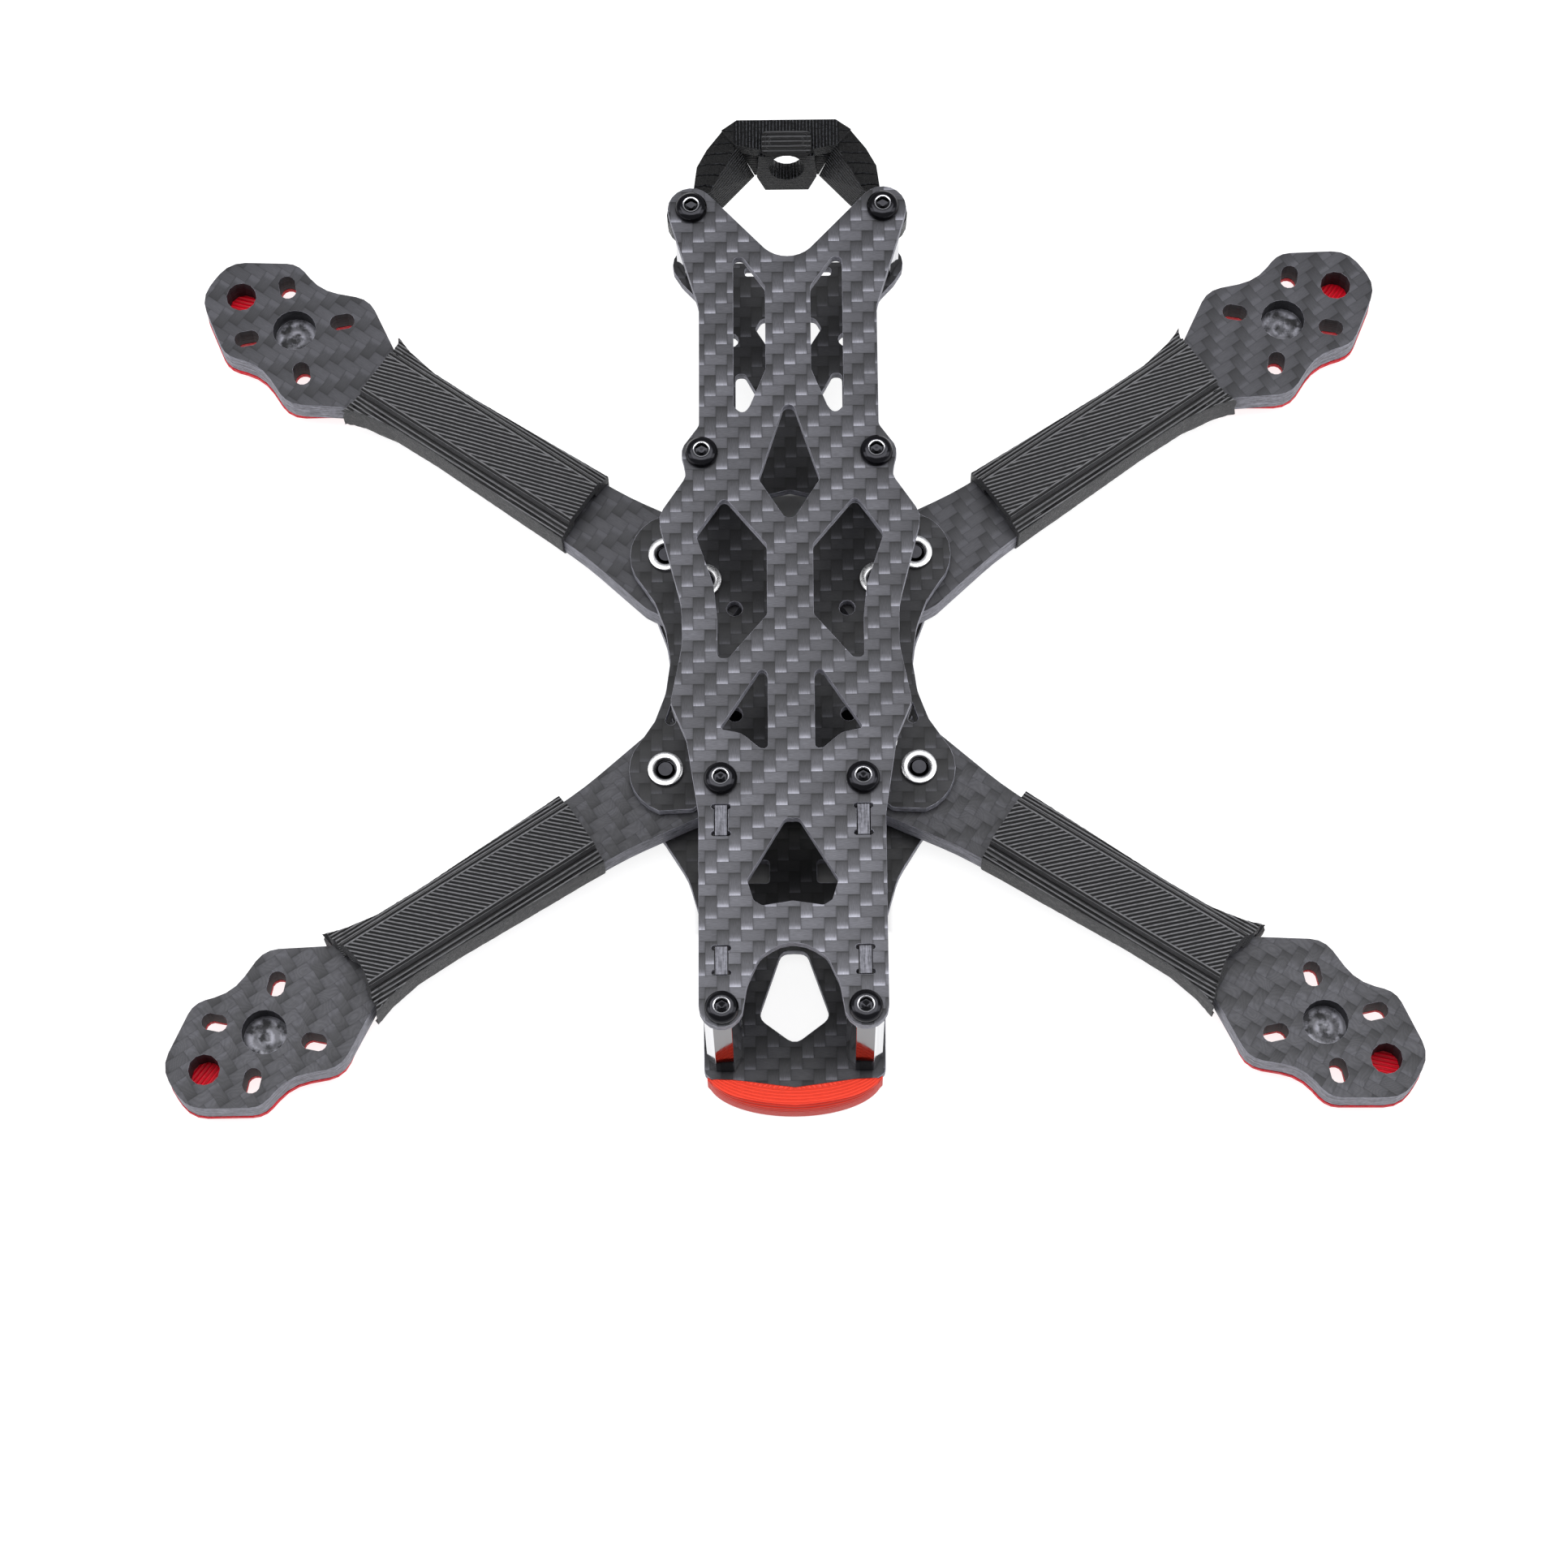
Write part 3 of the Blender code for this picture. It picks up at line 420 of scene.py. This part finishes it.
def new_piece(name, points, faces, materials, node, smooth=40):
    """A mesh piece from points in millimetres that rides on the frame and stands for a CAD node.

    Each face is its points' indices and its material's index. smooth is the angle of a sharp edge.
    """
    mesh = bpy.data.meshes.new(name)
    places = [tuple(c * MM for c in point) for point in points]
    mesh.from_pydata(places, [], [corners for corners, _ in faces])
    for material in materials:
        mesh.materials.append(material)
    for polygon, (_, index) in zip(mesh.polygons, faces):
        polygon.material_index = index
    work = bmesh.new()
    work.from_mesh(mesh)
    bmesh.ops.remove_doubles(work, verts=work.verts, dist=1e-7)
    bmesh.ops.recalc_face_normals(work, faces=work.faces)
    work.to_mesh(mesh)
    work.free()
    mesh.shade_smooth()
    mesh.set_sharp_from_angle(angle=math.radians(smooth))
    piece = bpy.data.objects.new(name, mesh)
    bpy.context.scene.collection.objects.link(piece)
    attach(piece, "root")
    if node:
        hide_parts(node)
    return piece


def ring(radius, z, sides, six_sided=False):
    """A turned piece's ring. A six-sided one takes half its width across flats as radius."""
    points = []
    for i in range(sides):
        angle = 2 * math.pi * i / sides
        from_flat = (angle + math.pi / 6) % (math.pi / 3) - math.pi / 6
        reach = radius / math.cos(from_flat) if six_sided else radius
        points.append((reach * math.cos(angle), reach * math.sin(angle), z))
    return points


def joined(rings, indices, through=False):
    """Points and faces of a piece made of equal rings; indices gives each band's material.

    The ends are closed, or the last ring joins the first where through is set.
    """
    sides = len(rings[0])
    count = len(rings)
    points = [point for one in rings for point in one]
    faces = []
    for level in range(count if through else count - 1):
        here = level * sides
        there = (level + 1) % count * sides
        for i in range(sides):
            j = (i + 1) % sides
            corners = [here + i, here + j, there + j, there + i]
            faces.append((corners, indices[level % len(indices)]))
    if not through:
        faces.append((list(range(sides))[::-1], indices[0]))
        faces.append((list(range((count - 1) * sides, count * sides)), indices[-1]))
    return points, faces


def place_points(points, centre, flip=False):
    """The points moved to centre; flip turns the piece upside down about the Y axis first."""
    sign = -1 if flip else 1
    return [(centre[0] + sign * x, centre[1] + y, centre[2] + sign * z) for x, y, z in points]


# Fasteners


def centre_of(node):
    low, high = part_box(node)
    return tuple((low + high) / 2 / MM)


def button_head(node, looks_up, black, rim):
    """A button-head screw: domed head, chamfered hexagonal socket and a shank."""
    low, high = (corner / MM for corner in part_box(node))
    x, y, _ = centre_of(node)
    head_r = (high.x - low.x) / 2
    head_h = 1.65
    shank_r = 1.5
    shoulder = 0.38
    crown_r = 1.62
    sides = 48
    steps = 9
    tip = head_h - (high.z - low.z)
    rings = [ring(shank_r - 0.25, tip, sides), ring(shank_r, tip + 0.3, sides), ring(shank_r, 0, sides)]
    rings += [ring(head_r - 0.12, 0, sides), ring(head_r, 0.12, sides), ring(head_r, shoulder, sides)]
    for step in range(1, steps + 1):
        angle = math.pi / 2 * step / steps
        out = crown_r + (head_r - crown_r) * math.cos(angle)
        rings.append(ring(out, shoulder + (head_h - shoulder) * math.sin(angle), sides))
    to_rim = len(rings)
    rings += [ring(1.44, head_h, sides), ring(1.24, head_h - 0.08, sides)]
    rings += [ring(1.04, head_h - 0.22, sides, True), ring(1.0, 0.6, sides, True)]
    rings += [ring(0.62, 0.52, sides), ring(0.05, 0.2, sides)]
    # The band just inside the crown takes the rim's colour: bare steel, painted brighter as its highlight.
    points, faces = joined(rings, [0] * to_rim + [1] + [0] * 4)
    seat = high.z - head_h if looks_up else low.z + head_h
    points = place_points(points, (x, y, seat), not looks_up)
    new_piece(node + "_detail", points, faces, (black, rim), node)


def ring_nut(node, bright, thread):
    """A flanged press nut, bright on top, with its threaded bore painted dark: painted shade."""
    low, high = (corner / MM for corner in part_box(node))
    x, y, _ = centre_of(node)
    outer = (high.x - low.x) / 2
    bore = 1.8
    sides = 64
    top = high.z
    rings = [
        ring(bore, low.z, sides),
        ring(outer - 0.08, low.z, sides),
        ring(outer, low.z + 0.08, sides),
        ring(outer, top - 0.16, sides),
        ring(outer - 0.05, top - 0.06, sides),
        ring(outer - 0.2, top, sides),
        ring(bore + 0.34, top, sides),
        ring(bore + 0.22, top - 0.06, sides),
        ring(bore + 0.14, top - 0.1, sides),
        ring(bore, top - 0.24, sides),
    ]
    points, faces = joined(rings, [0] * 7 + [1, 1, 1], through=True)
    points = place_points(points, (x, y, 0))
    new_piece(node + "_detail", points, faces, (bright, thread), node)


# Arm guards


def arm_to_frame(point, end, side):
    """A point in an arm's own (u, v, z), with u outward from its motor, in the row frame."""
    (motor_x, motor_y), heading = ARMS[end]
    angle = math.radians(heading)
    u, v, z = point
    x = motor_x + u * math.cos(angle) - v * math.sin(angle)
    y = motor_y + u * math.sin(angle) + v * math.cos(angle)
    return (side * x, y, z)


def value_at(table, u):
    """A value read at u from (u, value) pairs, straight between them."""
    for (u0, a), (u1, b) in zip(table, table[1:]):
        if u <= u1:
            t = max(0.0, (u - u0) / (u1 - u0))
            return a + (b - a) * t
    return table[-1][1]


def guard_outer(u):
    """Half of the sleeve's outer section at u, from the crown's middle to its lower edge."""
    width = value_at(GUARD_WIDTH, u)
    flare = max(0.0, width - 7.0)
    half = [(0.0, CROWN), (1.6, CROWN), (3.2, CROWN), (4.3, CROWN), (4.52, CROWN - 0.05)]
    half += [(4.62, CROWN - 0.18), (4.68, CROWN - 0.9), (4.8, CROWN - 1.5)]
    steps = 4
    low = ARM_TOP + 2.3
    for step in range(steps):
        out = 4.9 + (width - 4.9) * (step + 0.9) / steps
        z = CROWN - 1.6 - (CROWN - 1.6 - low) * (step + 1) / steps
        half += [(out - 0.12, z + 0.28), (out, z + 0.2), (out, z + 0.06)]
    half += [(width, low - 0.2), (width + 0.03, ARM_TOP + 1.0), (width, ARM_TOP - 1.0)]
    half += [(width, ARM_BOTTOM + 1.4), (width - 0.15, ARM_BOTTOM + 0.9)]
    under = width - 0.5 * flare
    half += [(under - 0.5, ARM_BOTTOM - 0.4), (under - 0.9, ARM_BOTTOM - 1.1)]
    return half


def tunnel_half(u):
    """Half of the arm's tunnel at u, which is as wide as the arm's shaft."""
    towards_root = (max(0.0, -27.0 - u) / 43.0) ** 1.25 * 1.9
    towards_tip = 0.25 * max(0.0, u + 26.0)
    fit = 5.25 + towards_root + towards_tip
    under = ARM_TOP + 0.2
    half = [(0.0, under + 2.5), (3.2, under + 2.5), (3.4, under + 0.6), (fit, under)]
    return half + [(fit, ARM_BOTTOM - 0.2)]


def resampled(half, count):
    """The half outline with the given number of points, evenly along its length."""
    lengths = [0.0]
    for a, b in zip(half, half[1:]):
        lengths.append(lengths[-1] + math.dist(a, b))
    made = []
    for i in range(count):
        target = lengths[-1] * i / (count - 1)
        k = max(j for j in range(len(half)) if lengths[j] <= target + 1e-9)
        if k == len(half) - 1:
            made.append(half[-1])
            continue
        t = (target - lengths[k]) / (lengths[k + 1] - lengths[k])
        made.append(tuple(a + (b - a) * t for a, b in zip(half[k], half[k + 1])))
    return made


def guard_end(v, z, end, seed):
    """Where the sleeve stops outward: a hollowed crown over shoulders set back, then flared tips below."""
    hollow = 0.9 if end == "front" else 0.1
    ragged = noise.noise((z * 2.1, seed, v * 0.7))
    if z > CROWN - 1.55:
        return -18.9 - hollow * (1 - min(1.0, abs(v) / 4.7) ** 2)
    if z > ARM_TOP + 2.2:
        return -20.0 + 0.25 * abs(v) + 0.5 * ragged
    return -17.4 + 0.6 * ragged


def guard_section(share, mirror, end, seed):
    """One half of the sleeve's section: its outer and inner points, at a share of the way to the tip."""
    u0 = GUARD_ROOT + share * (GUARD_TIP - GUARD_ROOT)
    half = guard_outer(u0)
    near_tip = max(0.0, (share - 0.93) / 0.07)
    section, passage = [], []
    for (v, z), (hole_v, hole_z) in zip(half, resampled(tunnel_half(u0), len(half))):
        stop = guard_end(v * mirror, z, end, seed)
        u = GUARD_ROOT + share * (stop - GUARD_ROOT)
        rough = noise.noise((u * 1.3, z * 3.0, seed + mirror)) * 0.07
        loose = noise.noise((u * 2.0, z * 4.0, seed - mirror)) * 0.25 * near_tip
        grow = value_at(GUARD_WIDTH, u) - value_at(GUARD_WIDTH, u0) if v > 5.0 else 0.0
        fray = rough + loose if v > 4.7 else 0.0
        section.append((u, mirror * (v + grow + fray), z + rough * 0.5))
        passage.append((min(u, GUARD_TIP), mirror * hole_v, hole_z))
    return section, passage


def make_guard(end, word, side, black):
    """A sleeve with its tunnel: two shells of rows, joined at both ends and along the open bottom."""
    stations = 96
    seed = {"rear": 3.0, "front": 8.0}[end] + side
    open_at = len(guard_outer(GUARD_ROOT)) - 1
    rows_outer, rows_inner = [], []
    for step in range(stations + 1):
        right, right_hole = guard_section(step / stations, 1, end, seed)
        left, left_hole = guard_section(step / stations, -1, end, seed)
        rows_outer.append(right + left[::-1][:-1])
        rows_inner.append(right_hole + left_hole[::-1][:-1])
    size = len(rows_outer[0])
    shift = (stations + 1) * size
    points = [arm_to_frame(p, end, side) for row in rows_outer + rows_inner for p in row]
    faces = []
    for i in range(size):
        if i == open_at:
            continue
        step_on = (i + 1) % size - i
        for level in range(stations):
            for a in (level * size + i, shift + level * size + i):
                faces.append(([a, a + step_on, a + step_on + size, a + size], 0))
        for a in (i, stations * size + i):
            faces.append(([a, a + step_on, a + step_on + shift, a + shift], 0))
    for level in range(stations):
        for a in (level * size + open_at, level * size + open_at + 1):
            faces.append(([a, a + size, a + size + shift, a + shift], 0))
    name = f"arm_guard_{end}_{word}"
    new_piece(name + "_print", points, faces, (black,), name, 32)


# Bumper


def make_bumper():
    """The strip on the nose: a C-shaped section swept along the plate's bowed front edge."""
    low, high = (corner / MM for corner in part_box("nose_bumper"))
    plate_low, plate_high = (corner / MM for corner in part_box("bottom_plate"))
    stations = 96
    rows = []
    for step in range(stations + 1):
        share = -math.cos(math.pi * step / stations)
        x = high.x * share
        edge = plate_edge(abs(x)) - 0.15
        bow = math.sqrt(max(0.0, 1 - share * share))
        outer = min(edge - 0.35, low.y + BUMPER_BOW * (1 - bow))
        depth = edge - outer
        slope = 0.45 * depth
        lip = min(1.6, 0.35 + 4.5 * (1 - abs(share)))
        inner = edge + lip
        top = high.z - 0.9 * abs(share) ** 8
        rows.append(
            [
                (x, inner, plate_high.z + 0.2),
                (x, inner, top - 0.15),
                (x, inner - 0.15, top),
                (x, outer + slope + 0.4, top),
                (x, outer + slope * 0.75, top - 0.2),
                (x, outer + 0.25 * slope, top - 1.1),
                (x, outer + 0.04 * slope, top - 1.9),
                (x, outer, top - 2.6),
                (x, outer, low.z + 0.5),
                (x, outer + 0.15, low.z + 0.15),
                (x, outer + 0.5 * min(1.0, depth), low.z),
                (x, inner, low.z),
                (x, inner, plate_low.z - 0.2),
                (x, edge, plate_low.z - 0.2),
                (x, edge, plate_high.z + 0.2),
            ]
        )
    points, faces = joined(rows, [0])
    red = bumper_print(low.y, high.x)
    new_piece("nose_bumper_print", points, faces, (red,), "nose_bumper", 38)


def plate_edge(x):
    """The bottom plate's front edge: a shallow V with rounded shoulders."""
    return value_at(((0.0, -77.9), (11.0, -76.4), (14.4, -75.2), (16.0, -73.6)), x)


# Antenna mount


def make_boss(black):
    """The raised pad on the antenna bridge, printed as nested rounded rectangles."""
    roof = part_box("antenna_mount")[1].z / MM
    rings = []
    steps = ((0.0, -0.6), (0.0, 0.32), (0.12, 0.42), (0.55, 0.44), (0.62, 0.36), (0.75, 0.36), (0.82, 0.46))
    steps += ((1.3, 0.46), (1.38, 0.38), (1.5, 0.38), (1.58, 0.46), (1.85, 0.46))
    for inset, rise in steps:
        rings.append(rounded_box((0.0, BRIDGE_Y), 4.5 - inset, 2.3 - inset, 1.2 - inset * 0.4, roof + rise))
    points, faces = joined(rings, [0])
    new_piece("antenna_mount_boss", points, faces, (black,), None, 30)


def rounded_box(centre, half_x, half_y, radius, z, steps=6):
    points = []
    for quarter, (sx, sy) in enumerate(((1, 1), (-1, 1), (-1, -1), (1, -1))):
        for step in range(steps + 1):
            angle = math.radians(90 * quarter + 90 * step / steps)
            x = centre[0] + sx * (half_x - radius) + radius * math.cos(angle)
            y = centre[1] + sy * (half_y - radius) + radius * math.sin(angle)
            points.append((x, y, z))
    return points


# Carried-over CAD nodes


def finish_node(name, material, bevel, segments=2):
    """Gives a CAD node its material and, by modifiers, the small broken edges of the real piece."""
    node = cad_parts[name]
    node.data.materials.clear()
    node.data.materials.append(material)
    weld = node.modifiers.new("weld", "WELD")
    weld.merge_threshold = 0.00001
    edge = node.modifiers.new("edge", "BEVEL")
    edge.width = bevel * MM
    edge.segments = segments
    edge.limit_method = "ANGLE"
    edge.angle_limit = math.radians(40)
    edge.use_clamp_overlap = True
    edge.harden_normals = True


def dress_plates():
    # The top plate is painted lighter towards the nose: painted light.
    roof = carbon("carbon_roof", 0.054, 1.0, shade=(-75.0, -10.0, 1.45, 1.0))
    # The mid plate's tone is set far below the top plate's: painted shade from the top plate above it.
    lower = carbon("carbon_lower", 0.016, 0.9)
    # The bottom plate is painted darker behind the nose, under the top plate: painted shade.
    nose = carbon("carbon_nose", 0.033, 0.9, shade=(-56.0, -50.0, 1.0, 0.3))
    cage = carbon("carbon_cage", 0.02, 0.8, upright=True)
    finish_node("top_plate", roof, 0.12)
    finish_node("mid_plate", lower, 0.12)
    finish_node("bottom_plate", nose, 0.12)
    for word, _ in SIDES:
        finish_node("camera_plate_" + word, cage, 0.08)


def dress_arms():
    for end, ((motor_x, motor_y), heading) in ARMS.items():
        swirl = 0.12 if end == "front" else 0.0
        raster = 45.0 if end == "front" else -17.0
        for word, side in SIDES:
            name = f"{end}_{word}"
            angle = math.radians(heading if side > 0 else 180 - heading)
            origin = (side * motor_x, motor_y)
            twill = carbon(
                "carbon_arm_" + name, 0.038, 0.75, angle, origin, swirl=swirl, well=True, peak=1.45
            )
            finish_node("arm_" + name, twill, 0.18, 3)
            crimson = (0.5, 0.0, 0.008), (0.85, 0.0, 0.02)
            pad = printed("pad_red_" + name, *crimson, 20.0, angle, origin, depth=0.08)
            finish_node("motor_pad_" + name, pad, 0.12)
            blacks = (0.001, 0.001, 0.0012), (0.15, 0.15, 0.157)
            guard = printed("tpu_guard_" + name, *blacks, side * raster, angle, origin, rim=3.75)
            make_guard(end, word, side, guard)


def dress_fasteners():
    black = steel("black_steel", (0.022, 0.022, 0.025), 0.17)
    # Bright bare steel round each socket, painted brighter to stand in for the rim's highlight.
    rim = steel("socket_rim_bare_and_highlight", (0.5, 0.5, 0.52), 0.16)
    bright = steel("bright_steel", (0.62, 0.62, 0.63), 0.3)
    # The nut's bore is painted far darker than its top: painted shade inside the threaded bore.
    thread = steel("nut_thread", (0.12, 0.12, 0.125), 0.35)
    polished = mirror_bar("polished_metal")
    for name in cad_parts:
        if name.startswith("top_screw"):
            button_head(name, True, black, rim)
        elif name.startswith(("post_screw", "arm_bolt")):
            button_head(name, False, black, rim)
        elif name.startswith("arm_nut"):
            ring_nut(name, bright, thread)
        elif name.startswith("standoff"):
            finish_node(name, polished, 0.06)


# Stage, lights and camera


def make_floor():
    mesh = bpy.data.meshes.new("floor")
    half = 3.0
    corners = [(x, y, FLOOR) for x, y in ((-half, -half), (half, -half), (half, half), (-half, half))]
    mesh.from_pydata(corners, [], [(0, 1, 2, 3)])
    floor = bpy.data.objects.new("floor", mesh)
    bpy.context.scene.collection.objects.link(floor)
    s = Shader("floor", 0.7, specular=0.2)
    s.bsdf.inputs["Base Color"].default_value = (0.3, 0.3, 0.303, 1)
    s.bsdf.inputs["Emission Color"].default_value = (1, 1, 1, 1)
    x, y, _ = s.split(s.place())
    beside = s.spread(s.size(x), SHADE_HALF_X, SHADE_HALF_X + 4.0, 0.0, 1.0)
    along = s.size(s.minus(y, SHADE_MIDDLE_Y))
    beyond = s.spread(along, SHADE_HALF_Y, SHADE_HALF_Y + 3.0, 0.0, 1.0)
    # The unlit patch under the body is a painted shadow; elsewhere the floor glows evenly.
    s.put(s.bsdf.inputs["Emission Strength"], s.times(s.math("MAXIMUM", beside, beyond), 0.85))
    mesh.materials.append(s.material)


def add_softbox(name, place, size, power):
    """An area light that faces the origin."""
    data = bpy.data.lights.new(name, "AREA")
    data.shape = "RECTANGLE"
    data.size, data.size_y = size
    data.energy = power
    light = bpy.data.objects.new(name, data)
    light.location = place
    light.rotation_euler = (-Vector(place)).to_track_quat("-Z", "Y").to_euler()
    bpy.context.scene.collection.objects.link(light)


def make_lights():
    add_softbox("overhead", (0.0, 0.15, 1.05), (1.3, 0.7), 12.0)
    add_softbox("left", (-0.95, -0.1, 0.75), (0.5, 1.2), 5.0)
    add_softbox("right", (0.95, -0.1, 0.75), (0.5, 1.2), 5.0)
    world = bpy.data.worlds.new("studio")
    world.use_nodes = True
    sky = world.node_tree.nodes["Background"]
    sky.inputs["Color"].default_value = (0.95, 0.96, 1.0, 1)
    sky.inputs["Strength"].default_value = 0.55
    bpy.context.scene.world = world
    bpy.context.scene.view_settings.view_transform = "Standard"


def make_camera():
    data = bpy.data.cameras.new("camera")
    data.sensor_width = 36.0
    data.lens = 95.19
    data.clip_start = 0.01
    data.clip_end = 20.0
    camera = bpy.data.objects.new("camera", data)
    yaw, tilt, roll = (math.radians(a) for a in (0.89, 19.633, -1.413))
    turn = Matrix.Rotation(yaw, 4, "Z") @ Matrix.Rotation(tilt, 4, "X") @ Matrix.Rotation(roll, 4, "Z")
    camera.matrix_world = Matrix.Translation((0.00223, -0.26665, 0.68274)) @ turn
    bpy.context.scene.collection.objects.link(camera)
    bpy.context.scene.camera = camera


make_camera()
make_lights()
make_floor()
dress_plates()
dress_arms()
dress_fasteners()
make_bumper()
finish_node("antenna_mount", mount_print(), 0.15)
ridges = (0.001, 0.001, 0.001), (0.05, 0.05, 0.053)
make_boss(printed("tpu_boss", *ridges, 0.0, origin=(0.0, BRIDGE_Y), pitch=0.95, depth=0.2))
